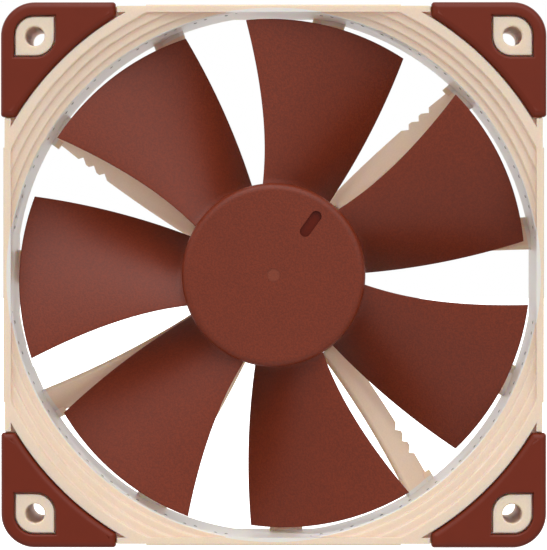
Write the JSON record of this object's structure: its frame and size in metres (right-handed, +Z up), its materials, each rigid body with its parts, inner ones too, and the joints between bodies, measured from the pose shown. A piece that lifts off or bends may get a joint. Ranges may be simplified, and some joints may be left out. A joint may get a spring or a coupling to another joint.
{
  "type": "case fan",
  "caption": "Slim square axial case fan with a stepped inlet, a free-spinning bladed impeller, notched stator vanes and rubber corner pads.",
  "frame": {"origin": "centre of the fan's box, on the impeller axis, midway between its front and rear pads", "axes": "+Z up with the fan standing on one side, the axis of rotation along Y, intake side towards -Y, +X to the right as seen from the intake side"},
  "size_m": [0.12, 0.025, 0.12],
  "materials": {
    "frame_pbt": "glass-filled PBT, moulded, beige, fine matt",
    "impeller_polymer": "fibre-filled polymer, moulded, red-brown, satin",
    "pad_silicone": "moulded silicone rubber, dark red-brown, satin",
    "yoke_steel": "drawn steel cup, plain",
    "shaft_steel": "ground steel",
    "bearing_brass": "turned brass",
    "sleeve_bronze": "sintered oil-filled bronze",
    "magnet_ferrite": "plastic-bonded ferrite, dark grey",
    "core_steel": "stacked silicon-steel laminations",
    "insulator_nylon": "white nylon",
    "coil_copper": "enamelled copper wire, close wound",
    "board_laminate": "glass-epoxy laminate under green solder mask",
    "chip_epoxy": "black moulded epoxy",
    "component_ceramic": "fired ceramic chips with tinned ends",
    "pin_tin": "tinned brass pins",
    "label_foil": "blank metallised foil"
  },
  "bodies": {
    "housing": {"frame": "frame_pbt", "bearing_shell": "bearing_brass", "bearing_sleeve": "sleeve_bronze", "oil_seal": "insulator_nylon", "stabiliser_magnet": "magnet_ferrite", "thrust_pad": "insulator_nylon", "stator_core": "core_steel", "front_insulator": "insulator_nylon", "rear_insulator": "insulator_nylon", "circuit_board": "board_laminate", "hall_sensor": "chip_epoxy", "driver_chip": "chip_epoxy", "board_components": "component_ceramic", "terminal_pins": "pin_tin", "rear_label": "label_foil", "coil_1": "coil_copper", "coil_2": "coil_copper", "coil_3": "coil_copper", "coil_4": "coil_copper", "front_pad_top_right": "pad_silicone", "front_pad_top_left": "pad_silicone", "front_pad_bottom_left": "pad_silicone", "front_pad_bottom_right": "pad_silicone", "rear_pad_top_right": "pad_silicone", "rear_pad_top_left": "pad_silicone", "rear_pad_bottom_left": "pad_silicone", "rear_pad_bottom_right": "pad_silicone"},
    "rotor": {"impeller": "impeller_polymer", "rotor_yoke": "yoke_steel", "ring_magnet": "magnet_ferrite", "shaft": "shaft_steel", "shaft_bushing": "bearing_brass", "retaining_clip": "insulator_nylon"}
  },
  "joints": [
    {"name": "impeller_spin", "type": "hinge", "parent": "housing", "child": "rotor", "pos_m": [0, 0, 0], "axis": [0, -1, 0], "continuous": true}
  ]
}
